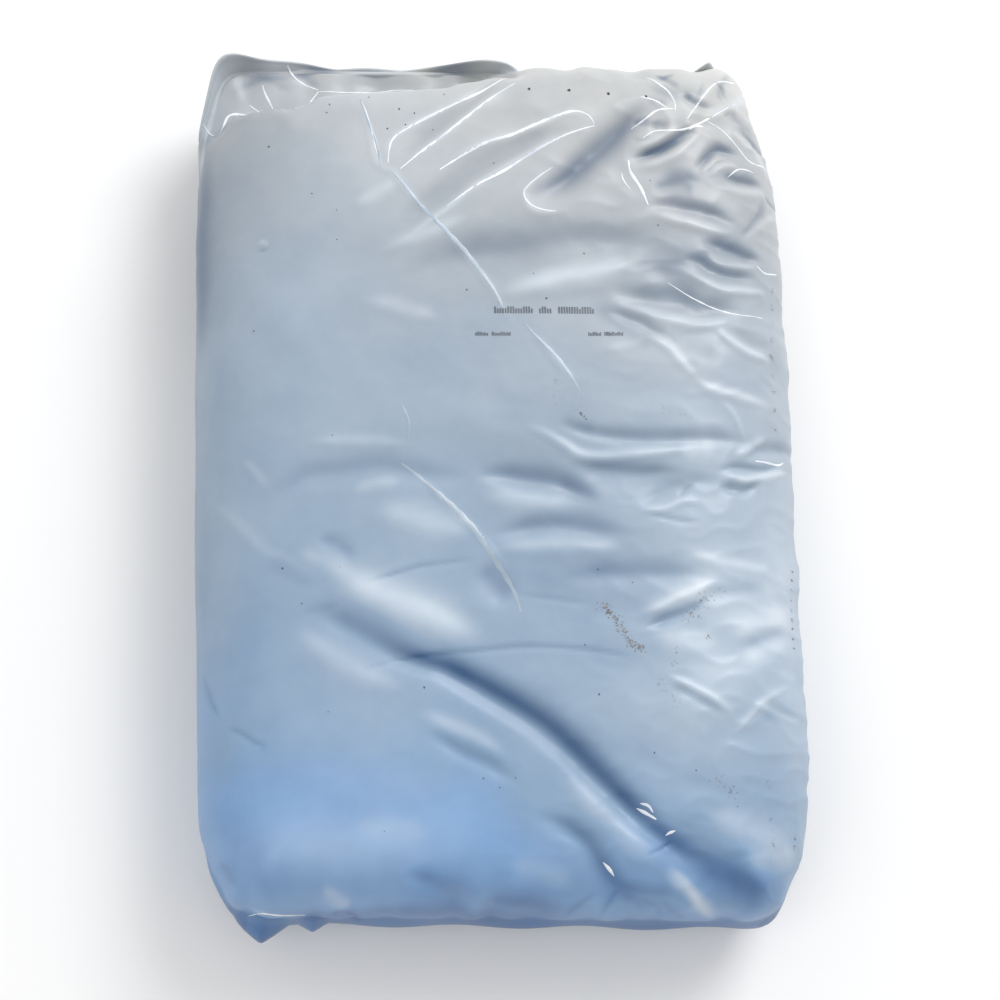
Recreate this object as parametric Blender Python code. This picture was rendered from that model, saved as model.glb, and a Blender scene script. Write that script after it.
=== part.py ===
"""A filled and sealed sack of plastic film, lying on its back.

The sack is one closed solid. The head of the sack points to +Y and it rests
on the flat patch of its underside at z = 0. All sizes are in metres.
"""
import math

import bpy
import numpy as np

# Sizes of the filled body
BODY_WIDTH = 0.408
BODY_LENGTH = 0.582
BODY_HEIGHT = 0.120
CROWN_HEIGHT = 0.006
WIDEST_LEVEL = 0.47 * BODY_HEIGHT
SIDE_SHOULDER = 0.078
END_SHOULDER = 0.050
FLOOR_INSET = 0.034
ROUNDNESS = 2.25
CORNER_SOFTNESS = 0.006

# How much further the foot reaches from the centre than the head
FOOT_EXTRA = 0.005

# How far each corner of the plan is cut off, across and along
HEAD_LEFT_CUT = (0.026, 0.069)
HEAD_RIGHT_CUT = (0.036, 0.120)
FOOT_LEFT_CUT = (0.036, 0.062)
FOOT_RIGHT_CUT = (0.020, 0.046)

# The sealed strips of film at the two ends: how far they hang down and lean out
SEAL_THICKNESS = 0.0016
SEAL_DROP = 0.022
SEAL_LEAN = 0.004

# The film that stands up along the left part of the head. It begins beside the
# left corner and ends near the middle, both as shares of the half sizes.
LIP_START = (0.705, 0.842)
LIP_END = (0.000, 0.196)
LIP_RISE = 0.014
LIP_HEIGHT = 0.005
LIP_LEAN = 0.003

# Its high point at the corner of the plan, and a lower wave beside it
EAR_HEIGHT = 0.024
EAR_REACH = 0.050
EAR_LEAN = 0.004
WAVE_CENTRE = -0.05
WAVE_REACH = 0.030
WAVE_HEIGHT = 0.016

# The hollow behind the standing film: its floor, and the crease where it
# begins, as shares of the half width and of the half length
POCKET_LEVEL = 0.070
CREASE_ACROSS = (-1.0, -0.90, -0.78, -0.66, -0.54, -0.28, -0.03)
CREASE_ALONG = (0.785, 0.795, 0.810, 0.825, 0.845, 0.870, 0.910)
CREASE_DEPTH = 0.100

# Two points of the sealed strip that stick out at the foot: their places as
# shares of the half width, and how far they reach
FOOT_TIPS = ((-0.79, 0.009), (-0.60, 0.005))
TIP_REACH = 0.010

# Fineness of the mesh
COLUMNS = 46
ROWS = 66
GRID_INSET = 0.0035
UPPER_ANGLES = (14.0, 9.0)
POCKET_INSETS = (0.0024, 0.0012)
SEAL_ANGLES = (5.0, 2.0, -1.0, -5.0, -10.0, -17.0)
LOWER_ANGLES = (-32.0, -56.0, -90.0)

# Film colour as linear values, and its shine
FILM_COLOUR = (0.39, 0.46, 0.54, 1.0)
FILM_ROUGHNESS = 0.28

# Folds that run over the face of the sack. Each has a height in millimetres
# (below zero is a valley), half the width in millimetres, and its path in
# hundredths of the half width and of the half length of the body.
FACE_FOLDS = (
    # Flutes and the deep tuck near the head
    (-2.5, 8, ((6, 92), (-9, 85), (-23, 77), (-33, 72))),
    (-3.0, 10, ((32, 80), (5, 74), (-15, 65), (-37, 52))),
    (1.5, 8, ((34, 80), (17, 80), (-3, 75), (-18, 68))),
    (-8.0, 10, ((54, 88), (42, 80), (31, 71), (12, 63))),
    (-4.0, 14, ((-40, 42), (-5, 50), (23, 53), (60, 55))),
    (3.0, 10, ((-2, 37), (12, 40), (34, 44), (58, 52))),
    (2.0, 9, ((-45, 37), (-35, 36), (-16, 34))),
    # Crumpled corner at the right of the head
    (-4.0, 8, ((44, 71), (55, 73), (71, 80))),
    (-4.0, 8, ((50, 60), (65, 58), (82, 55))),
    (2.5, 8, ((51, 55), (66, 53), (82, 52))),
    (-4.0, 8, ((65, 70), (76, 73), (94, 66))),
    (-4.5, 8, ((70, 53), (82, 49), (95, 48))),
    (-3.5, 8, ((61, 48), (76, 44), (92, 43))),
    (2.5, 8, ((60, 42), (76, 38), (93, 37))),
    # Wrinkles that come in from the right side
    (-4.0, 10, ((34, 41), (54, 38), (84, 35))),
    (2.5, 8, ((35, 35), (55, 31), (78, 31))),
    (3.0, 8, ((49, 29), (66, 18), (89, 14))),
    (2.5, 8, ((72, 29), (82, 24), (98, 25))),
    (-3.0, 9, ((6, 10), (30, 6), (75, 5))),
    (2.5, 8, ((6, 6), (25, 1), (48, 1))),
    (-3.0, 9, ((-1, -3), (24, -4), (62, -3))),
    (-3.5, 8, ((70, -4), (84, 1), (99, 3))),
    (-3.0, 10, ((-2, -17), (20, -14), (44, -17))),
    (3.0, 8, ((43, -37), (58, -32), (72, -27))),
    (-3.0, 10, ((18, -26), (40, -24), (68, -28))),
    (2.5, 9, ((50, -41), (72, -40), (95, -34))),
    # Soft dents across the middle and the left
    (-3.0, 10, ((-68, 1), (-45, 3), (-20, 2), (4, -2))),
    (2.0, 10, ((-60, -7), (-33, -6), (-4, -8))),
    # The long fold that runs down to the lower right
    (-3.5, 12, ((-68, -32), (-52, -35), (-36, -40), (-18, -46))),
    (-8.0, 9, ((-28, -45), (-9, -51), (18, -62), (42, -78))),
    (-5.5, 11, ((30, -70), (48, -82), (70, -92), (92, -99))),
    (4.0, 12, ((-57, -23), (-34, -32), (-12, -43))),
    (3.0, 10, ((-66, -37), (-48, -44), (-30, -52))),
    (3.0, 12, ((4, -71), (30, -82), (50, -91), (68, -101))),
    (-4.0, 9, ((10, -77), (28, -87), (46, -100))),
    (-3.0, 9, ((-30, -59), (-12, -66), (8, -75))),
    (2.0, 9, ((48, -52), (68, -62), (93, -48))),
    # Waves above the seal at the foot
    (-4.0, 9, ((-40, -90), (-14, -95), (14, -98))),
    (3.0, 8, ((-60, -90), (-54, -95), (-49, -101))),
    (-4.0, 9, ((62, -90), (75, -95), (88, -100))),
)

# Broad, gentle heaps of the filling under the film: height in millimetres,
# centre in hundredths of the half sizes, and reach in millimetres
FACE_HEAPS = (
    (3.0, (-38, 66), (60, 50)),
    (3.0, (60, 22), (60, 45)),
    (2.5, (-50, -62), (55, 60)),
    (3.0, (66, -52), (50, 50)),
    (-2.5, (10, 0), (90, 40)),
)


def smooth_step(start, end, value):
    share = np.clip((value - start) / (end - start), 0.0, 1.0)
    return share * share * (3.0 - 2.0 * share)


def clear_objects():
    for item in list(bpy.data.objects):
        bpy.data.objects.remove(item, do_unlink=True)


def plan_sides():
    """Direction and distance from the centre of each side of the plan."""
    half_width = BODY_WIDTH / 2.0
    half_length = BODY_LENGTH / 2.0
    foot_length = half_length + FOOT_EXTRA
    sides = [(1.0, 0.0, half_width), (-1.0, 0.0, half_width)]
    sides += [(0.0, 1.0, half_length), (0.0, -1.0, foot_length)]
    corners = ((-1, 1, HEAD_LEFT_CUT), (1, 1, HEAD_RIGHT_CUT))
    corners += ((-1, -1, FOOT_LEFT_CUT), (1, -1, FOOT_RIGHT_CUT))
    for across, along, (cut_x, cut_y) in corners:
        size = math.hypot(cut_x, cut_y)
        normal_x = across * cut_y / size
        normal_y = along * cut_x / size
        end = half_length if along > 0 else foot_length
        reach = normal_x * across * (half_width - cut_x) + normal_y * along * end
        sides.append((normal_x, normal_y, reach))
    return sides


def inset(x, y):
    """Distance inside the plan outline, with its corners rounded off."""
    total = 0.0
    for normal_x, normal_y, reach in plan_sides():
        distance = reach - normal_x * x - normal_y * y
        total = total + np.exp(-distance / CORNER_SOFTNESS)
    return -CORNER_SOFTNESS * np.log(total)


def outward(x, y):
    """Direction in plan that points straight out of the sack."""
    step = 0.0005
    slope_x = inset(x + step, y) - inset(x - step, y)
    slope_y = inset(x, y + step) - inset(x, y - step)
    size = np.hypot(slope_x, slope_y) + 1e-12
    return -slope_x / size, -slope_y / size


def rim_point(direction_x, direction_y, depth):
    """Point where a ray from the centre meets the line at a given inset."""
    low = np.zeros_like(direction_x)
    high = np.full_like(direction_x, BODY_LENGTH)
    for _ in range(40):
        middle = (low + high) / 2.0
        inside = inset(middle * direction_x, middle * direction_y) > depth
        low = np.where(inside, middle, low)
        high = np.where(inside, high, middle)
    return low * direction_x, low * direction_y


def shoulder_width(x, y):
    out_x, out_y = outward(x, y)
    share = out_y * out_y
    return SIDE_SHOULDER + (END_SHOULDER - SIDE_SHOULDER) * share


def crown(x, y):
    share_x = x / (BODY_WIDTH / 2.0)
    share_y = y / (BODY_LENGTH / 2.0)
    return CROWN_HEIGHT * (1.0 - share_x ** 2) * (1.0 - share_y ** 2)


def pocket_share(x, y):
    """How far a point lies in the hollow behind the standing film."""
    across = x / (BODY_WIDTH / 2.0)
    along = y / (BODY_LENGTH / 2.0)
    crease = np.interp(across, CREASE_ACROSS, CREASE_ALONG)
    beyond = smooth_step(0.0, CREASE_DEPTH, along - crease)
    return beyond * (1.0 - smooth_step(LIP_END[0] - 0.10, LIP_END[1] - 0.05, across))


def face_level(x, y):
    """Height of the smooth upper face before any fold."""
    depth = np.clip(inset(x, y), 0.0, None)
    share = np.clip(1.0 - depth / shoulder_width(x, y), 0.0, 1.0)
    rise = (1.0 - share ** ROUNDNESS) ** (1.0 / ROUNDNESS)
    level = WIDEST_LEVEL + (BODY_HEIGHT - WIDEST_LEVEL) * rise + crown(x, y)
    drop = np.maximum(level - POCKET_LEVEL, 0.0)
    return level - drop * pocket_share(x, y)


def fold_weight(x, y, path, half_width):
    """How strongly a fold along a path acts at each point, from 0 to 1."""
    points = np.array(path, float) * (BODY_WIDTH / 200.0, BODY_LENGTH / 200.0)
    lengths = np.hypot(*(points[1:] - points[:-1]).T)
    total = lengths.sum()
    nearest = np.full_like(x, 1e9)
    place = np.zeros_like(x)
    start = 0.0
    for first, second, length in zip(points[:-1], points[1:], lengths):
        run = (second - first) / length
        along = np.clip((x - first[0]) * run[0] + (y - first[1]) * run[1], 0.0, length)
        away = np.hypot(x - first[0] - along * run[0], y - first[1] - along * run[1])
        closer = away < nearest
        nearest = np.where(closer, away, nearest)
        place = np.where(closer, (start + along) / total, place)
        start += length
    fade = smooth_step(0.0, 0.30, place) * smooth_step(0.0, 0.30, 1.0 - place)
    taper = 0.5 + 0.5 * np.sin(math.pi * place)
    return np.exp(-(nearest / (half_width * taper)) ** 2) * fade


def face_relief(x, y):
    """Height added to the smooth form by folds, heaps and small creases."""
    relief = np.zeros_like(x)
    for height, half_width, path in FACE_FOLDS:
        relief += height / 1000.0 * fold_weight(x, y, path, half_width / 1000.0)
    for height, centre, reach in FACE_HEAPS:
        across = (x - centre[0] * BODY_WIDTH / 200.0) / (reach[0] / 1000.0)
        along = (y - centre[1] * BODY_LENGTH / 200.0) / (reach[1] / 1000.0)
        relief += height / 1000.0 * np.exp(-across ** 2 - along ** 2)
    relief += 0.0011 * np.sin(61.0 * x + 23.0 * y + 0.7) * np.sin(47.0 * y - 19.0 * x)
    relief += 0.0007 * np.sin(118.0 * x - 71.0 * y + 2.1) * np.sin(96.0 * y + 35.0 * x)
    return relief


def rim_gathers(x, y, level):
    """Puckers on the flanks, strongest at the ends and beside the corners."""
    out_x, out_y = outward(x, y)
    end_share = smooth_step(0.35, 0.9, np.abs(out_y))
    edge_share = 1.0 - smooth_step(0.006, 0.042, inset(x, y))
    floor_share = smooth_step(0.0, 0.030, level)
    corner_share = smooth_step(0.60, 0.95, np.abs(y) / (BODY_LENGTH / 2.0))
    right_share = smooth_step(-0.05, 0.15, x)
    end_wave = np.sin(172.0 * x + 0.6 + 1.8 * np.sin(31.0 * x)) + 0.5 * np.sin(281.0 * x + 1.9)
    swing = 2.4 * np.sin(17.0 * y + 0.5) + 30.0 * level
    side_wave = np.sin(71.0 * y + swing) + 0.6 * np.sin(137.0 * y - 1.7 * swing)
    end_part = 0.0009 * end_share * end_wave
    side_size = 0.0001 + 0.0005 * right_share + 0.0005 * corner_share
    side_part = side_size * (1.0 - end_share) * side_wave
    return (end_part + side_part) * edge_share * floor_share


def face_grid():
    """Plan positions of a grid that fills the outline, row by row."""
    across = np.linspace(-1.0, 1.0, COLUMNS + 1)
    along = np.linspace(-1.0, 1.0, ROWS + 1)
    grid_x, grid_y = np.meshgrid(across, along)
    ring = np.maximum(np.abs(grid_x), np.abs(grid_y))
    safe = np.where(ring < 1e-9, 1.0, ring)
    ray_x = grid_x / safe * BODY_WIDTH / 2.0
    ray_y = grid_y / safe * BODY_LENGTH / 2.0
    size = np.hypot(ray_x, ray_y)
    size = np.where(size < 1e-9, 1.0, size)
    rim_x, rim_y = rim_point(ray_x / size, ray_y / size, GRID_INSET)
    ring = 1.0 - (1.0 - ring) ** 1.12
    return (rim_x * ring).ravel(), (rim_y * ring).ravel()


def border_indices():
    """Indices of the grid border, counter-clockwise seen from above."""
    stride = COLUMNS + 1
    border = [column for column in range(COLUMNS)]
    border += [row * stride + COLUMNS for row in range(ROWS)]
    border += [ROWS * stride + COLUMNS - step for step in range(COLUMNS)]
    border += [(ROWS - step) * stride for step in range(ROWS)]
    return np.array(border)


def flank_point(rim, angle):
    """Ring on the flank: above zero degrees it lies above the widest line."""
    shoulder = rim["shoulder"]
    turn = math.radians(abs(angle))
    across = math.cos(turn) ** (2.0 / ROUNDNESS)
    rise = math.sin(turn) ** (2.0 / ROUNDNESS)
    if angle >= 0.0:
        depth = shoulder * (1.0 - across)
        level = WIDEST_LEVEL + (BODY_HEIGHT - WIDEST_LEVEL) * rise
    else:
        depth = np.full_like(shoulder, FLOOR_INSET * (1.0 - across))
        level = WIDEST_LEVEL * (1.0 - rise)
    x, y = rim_point(rim["ray_x"], rim["ray_y"], depth)
    return x, y, np.full_like(x, level)


def lip_share(x, y):
    """Where along the rim the film of the head stands up, from 0 to 1."""
    across = x / (BODY_WIDTH / 2.0)
    along = y / (BODY_LENGTH / 2.0)
    return smooth_step(*LIP_START, along) * (1.0 - smooth_step(*LIP_END, across))


def lip_height(x, y):
    """Height of the standing film above its root."""
    corner_x = HEAD_LEFT_CUT[0] - BODY_WIDTH / 2.0
    away = np.hypot(x - corner_x, y - BODY_LENGTH / 2.0)
    corner = np.maximum(1.0 - away / EAR_REACH, 0.0)
    wave = np.exp(-((x - WAVE_CENTRE * BODY_WIDTH / 2.0) / WAVE_REACH) ** 2)
    return LIP_HEIGHT + EAR_HEIGHT * corner ** 1.4 + WAVE_HEIGHT * wave, corner


def seal_shape(rim):
    """Lean outwards, rise and strength of the sealed strip along the rim."""
    x = rim["x"]
    lip = lip_share(x, rim["y"])
    strength = np.maximum(smooth_step(0.30, 0.97, np.abs(rim["out_y"])), lip)
    rise = -SEAL_DROP + 0.003 * np.sin(58.0 * x + 0.4)
    lean = SEAL_LEAN + 0.0012 * np.sin(74.0 * x + 0.8)
    for place, size in FOOT_TIPS:
        away = np.abs(x - place * BODY_WIDTH / 2.0) / TIP_REACH
        tip = np.maximum(1.0 - away, 0.0) * (rim["y"] < 0.0)
        lean = lean + size * tip
        rise = rise + 0.010 * tip
    height, corner = lip_height(x, rim["y"])
    lean = lean + (LIP_LEAN + EAR_LEAN * corner ** 3 - lean) * lip
    rise = rise + (height - rise) * lip
    return lean, rise, strength, lip


def seal_rings(rim):
    """Six rings around the sealed strip, from its upper root to its lower root."""
    lean, rise, _, lip = seal_shape(rim)
    half = SEAL_THICKNESS / 2.0
    root = WIDEST_LEVEL + 0.002 + LIP_RISE * lip
    upper = []
    lower = []
    for share in (0.0, 0.5, 1.0):
        reach = lean * share * (2.0 - share)
        level = root + rise * share
        run = lean * 2.0 * (1.0 - share) + 0.0005
        size = np.hypot(run, rise)
        for group, side in ((upper, half), (lower, -half)):
            distance = reach - side * rise / size
            x = rim["x"] + rim["out_x"] * distance
            y = rim["y"] + rim["out_y"] * distance
            group.append((x, y, level + side * run / size))
    return upper + lower[::-1]


def skirt_rings(border_x, border_y):
    """Rings from the border of the face to the floor, and how firmly each is sealed."""
    size = np.hypot(border_x, border_y)
    rim = {"ray_x": border_x / size, "ray_y": border_y / size}
    rim["x"], rim["y"] = rim_point(rim["ray_x"], rim["ray_y"], 0.0)
    rim["out_x"], rim["out_y"] = outward(rim["x"], rim["y"])
    rim["shoulder"] = shoulder_width(rim["x"], rim["y"])
    strength = seal_shape(rim)[2]
    lip = lip_share(rim["x"], rim["y"])
    loose = np.zeros_like(strength)
    rings = []
    for angle, depth in zip(UPPER_ANGLES, POCKET_INSETS):
        plain = flank_point(rim, angle)
        x, y = rim_point(rim["ray_x"], rim["ray_y"], depth)
        pocket = (x, y, np.full_like(x, POCKET_LEVEL))
        ring = tuple(a + (b - a) * lip for a, b in zip(plain, pocket))
        rings.append((ring, np.minimum(2.5 * lip, 1.0)))
    for angle, folded in zip(SEAL_ANGLES, seal_rings(rim)):
        plain = flank_point(rim, angle)
        ring = tuple(a + (b - a) * strength for a, b in zip(plain, folded))
        rings.append((ring, strength))
    rings += [(flank_point(rim, angle), loose) for angle in LOWER_ANGLES]
    return rings


def split_square(corners, level):
    """Two triangles for a square, cut along the diagonal that follows the folds."""
    first, second, third, fourth = corners
    if abs(level[first] - level[third]) <= abs(level[second] - level[fourth]):
        return [(first, second, third), (first, third, fourth)]
    return [(first, second, fourth), (second, third, fourth)]


def face_list(border, level):
    """Corner lists of all faces, turned so that they look outwards."""
    stride = COLUMNS + 1
    faces = []
    for row in range(ROWS):
        for column in range(COLUMNS):
            start = row * stride + column
            corners = (start, start + 1, start + stride + 1, start + stride)
            faces += split_square(corners, level)
    count = len(border)
    above = list(border)
    first_new = (COLUMNS + 1) * (ROWS + 1)
    ring_count = len(UPPER_ANGLES) + len(SEAL_ANGLES) + len(LOWER_ANGLES)
    for ring in range(ring_count):
        below = list(range(first_new + ring * count, first_new + (ring + 1) * count))
        for step in range(count):
            after = (step + 1) % count
            faces.append((above[step], below[step], below[after], above[after]))
        above = below
    centre = first_new + ring_count * count
    for step in range(count):
        faces.append((centre, above[(step + 1) % count], above[step]))
    return faces


def point_normals(points, faces):
    """Outward direction at each point, averaged over the faces around it."""
    normals = np.zeros_like(points)
    for count in (3, 4):
        group = np.array([face for face in faces if len(face) == count])
        first = points[group[:, 2]] - points[group[:, 0]]
        second = points[group[:, -1]] - points[group[:, 1]]
        cross = np.cross(first, second)
        for corner in range(count):
            np.add.at(normals, group[:, corner], cross)
    size = np.linalg.norm(normals, axis=1, keepdims=True)
    return normals / np.maximum(size, 1e-12)


def sack_points():
    """All points of the sack and the corner lists of its faces."""
    face_x, face_y = face_grid()
    border = border_indices()
    blocks = [np.stack((face_x, face_y, face_level(face_x, face_y)), axis=1)]
    sealed = [np.zeros_like(face_x)]
    for ring, strength in skirt_rings(face_x[border], face_y[border]):
        blocks.append(np.stack(ring, axis=1))
        sealed.append(strength)
    blocks.append(np.zeros((1, 3)))
    sealed.append(np.ones(1))
    points = np.concatenate(blocks)
    relief = face_relief(points[:, 0], points[:, 1])
    faces = face_list(border, relief)
    fade = smooth_step(0.35 * WIDEST_LEVEL, 1.25 * WIDEST_LEVEL, points[:, 2])
    push = relief * fade
    push = push + rim_gathers(points[:, 0], points[:, 1], points[:, 2])
    push = push * (1.0 - np.concatenate(sealed)) ** 4
    points = points + point_normals(points, faces) * push[:, None]
    middle = (points.min(axis=0) + points.max(axis=0)) / 2.0
    points = points - (middle[0], middle[1], points[:, 2].min())
    return points, faces


def film_material():
    material = bpy.data.materials.new("sack_film")
    material.use_nodes = True
    shader = material.node_tree.nodes["Principled BSDF"]
    shader.inputs["Base Color"].default_value = FILM_COLOUR
    shader.inputs["Roughness"].default_value = FILM_ROUGHNESS
    shader.inputs["Metallic"].default_value = 0.0
    return material


def build_sack():
    points, faces = sack_points()
    mesh = bpy.data.meshes.new("filled_sack")
    mesh.from_pydata([tuple(point) for point in points], [], faces)
    mesh.validate()
    mesh.update()
    for polygon in mesh.polygons:
        polygon.use_smooth = polygon.normal.z > -0.99
    sack = bpy.data.objects.new("filled_sack", mesh)
    bpy.context.scene.collection.objects.link(sack)
    sack.data.materials.append(film_material())
    return sack


clear_objects()
build_sack()
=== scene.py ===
import math

import bpy
import numpy as np
from mathutils import Matrix, Vector
from mathutils.bvhtree import BVHTree


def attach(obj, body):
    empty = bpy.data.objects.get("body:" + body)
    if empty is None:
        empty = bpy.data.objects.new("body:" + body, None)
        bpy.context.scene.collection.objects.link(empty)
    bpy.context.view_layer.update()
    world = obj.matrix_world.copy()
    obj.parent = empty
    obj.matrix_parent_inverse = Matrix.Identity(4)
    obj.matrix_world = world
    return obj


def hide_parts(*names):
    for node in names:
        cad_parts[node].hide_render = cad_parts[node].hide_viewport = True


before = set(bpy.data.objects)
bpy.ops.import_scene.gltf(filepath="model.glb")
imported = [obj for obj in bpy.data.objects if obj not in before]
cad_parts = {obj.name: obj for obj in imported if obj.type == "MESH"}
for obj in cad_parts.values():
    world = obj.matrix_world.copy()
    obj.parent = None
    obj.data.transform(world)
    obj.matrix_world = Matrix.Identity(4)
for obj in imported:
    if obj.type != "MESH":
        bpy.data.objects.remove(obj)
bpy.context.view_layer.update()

# Sizes of the body in metres, as in the part
BODY_WIDTH = 0.408
BODY_LENGTH = 0.582
BODY_HEIGHT = 0.120
CROWN_HEIGHT = 0.006
WIDEST_LEVEL = 0.47 * BODY_HEIGHT
SIDE_SHOULDER = 0.078
END_SHOULDER = 0.050
FLOOR_INSET = 0.034
ROUNDNESS = 2.25
CORNER_SOFTNESS = 0.006
FOOT_EXTRA = 0.005
HALF_X = BODY_WIDTH / 2.0
HALF_Y = BODY_LENGTH / 2.0

# How much each corner is cut across and along, the turn of the foot's edge in
# radians, and how far the body is moved so that the whole sack is centred
HEAD_LEFT_CUT = (0.019, 0.056)
HEAD_RIGHT_CUT = (0.027, 0.104)
FOOT_LEFT_CUT = (0.030, 0.046)
FOOT_RIGHT_CUT = (0.022, 0.047)
FOOT_TURN = 0.032
BODY_SHIFT = (-0.00026, 0.00552)

# The fuller corner at the right of the head (centre across, centre along, reach
# and size), and how much slimmer the left side is towards the foot
FULL_CORNER = (0.192, 0.215, 0.050, 0.0030)
SLIM_SIDE = 0.0022

# The sealed strips at the ends, and how much they sway along their length
SEAL_THICKNESS = 0.0012
SEAL_DROP = 0.022
SEAL_LEAN = 0.004
DROP_SWAY = 0.003
LEAN_SWAY = 0.0012

# Two points of the foot strip: centre as a share of the half width, how far they
# stand out, and reach; then how much they are lifted
FOOT_TIPS = ((-0.78, 0.012, 0.017), (-0.62, 0.006, 0.010))
TIP_LIFT = 0.010

# One point of the head strip, at the right: centre, reach and height
HEAD_TIP = (0.156, 0.016, 0.048)

# The film that stands up along the left part of the head: where it begins along
# the left side and ends across the head, how far its root is raised, its height
# above the root, its lean, and the share of these heights where it is lowest
LIP_START = (0.205, 0.245)
LIP_END = (0.012, 0.046)
LIP_RISE = 0.014
LIP_HEIGHT = 0.005
LIP_LEAN = 0.003
LIP_LOW_SHARE = 0.36

# Its pointed corner (place, height, lean and reach), its wave near the middle
# (centre, reach and height), and the ripple of its edge
EAR_CORNER = (-0.184, 0.291)
EAR_POINT = 0.013
EAR_LEAN = 0.004
EAR_REACH = 0.050
LIP_WAVE = (-0.005, 0.026, 0.007)
LIP_RIPPLE = 0.0015

# The hollow behind that film: its floor, and the crease where it begins, as
# shares of the half width and of the half length
POCKET_LEVEL = 0.070
CREASE_ACROSS = (-1.0, -0.93, -0.90, -0.87, -0.80, -0.69, -0.63, -0.575, -0.46, -0.28, -0.155, -0.03)
CREASE_ALONG = (0.785, 0.785, 0.80, 0.82, 0.825, 0.82, 0.835, 0.855, 0.865, 0.875, 0.885, 0.915)

# Fineness of the mesh
COLUMNS = 216
ROWS = 312
GRID_INSET = 0.0030
UPPER_ANGLES = (16.0, 12.0, 9.0, 6.5)
POCKET_INSETS = (0.0024, 0.0018, 0.0012, 0.0006)
SEAL_SHARES = (0.0, 0.33, 0.67, 1.0)
SEAL_ANGLES = (5.0, 3.5, 2.0, 0.5, -1.5, -4.0, -8.0, -13.0)
LOWER_ANGLES = (-20.0, -28.0, -37.0, -47.0, -58.0, -72.0, -90.0)

# Random unevenness of the film and gathers of its rim, as heights in metres
BROAD_WAVES = 0.0016
CROSS_WAVES = (0.0008, 0.0016)
FINE_CREASES = 0.0009
END_GATHERS = 0.0009
SIDE_GATHERS = 0.0001
RIGHT_GATHERS = 0.00025
CORNER_GATHERS = 0.0005

# How much of the height listed for each fold is given to the film, how far its
# form lies beside its painted shade, in half widths, and how much faster a fold of each
# uneven profile fades on its two sides ("dark" is the profile of painted shade)
RELIEF_SHARE = 0.5
FOLD_SHIFT = (0.40, 0.52)
SIDE_FADES = {"step": (0.38, 1.0), "dark": (1.5, 0.85)}

# The height that adds one to the painted light of the film, and the painted light and
# shade that are set by place: the painted light of the strip of the head with its painted darker places
# (centre, reach and strength), the painted shade of the strip of the foot, and the painted shade of the
# lower flanks at the foot, the left and the right
PAINTED_SHADING_HEIGHT = 0.035
HEAD_STRIP_PAINTED_LIGHT = 0.30
STRIP_PAINTED_SHADES = ((-0.118, 0.015, -1.1), (-0.024, 0.020, -1.1), (-0.166, 0.010, -0.5))
FOOT_STRIP_PAINTED_SHADE = -0.40
LOW_FOOT_PAINTED_SHADE = -0.50
LOW_LEFT_PAINTED_SHADE = -0.30
LOW_RIGHT_PAINTED_SHADE = -0.45
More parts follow.
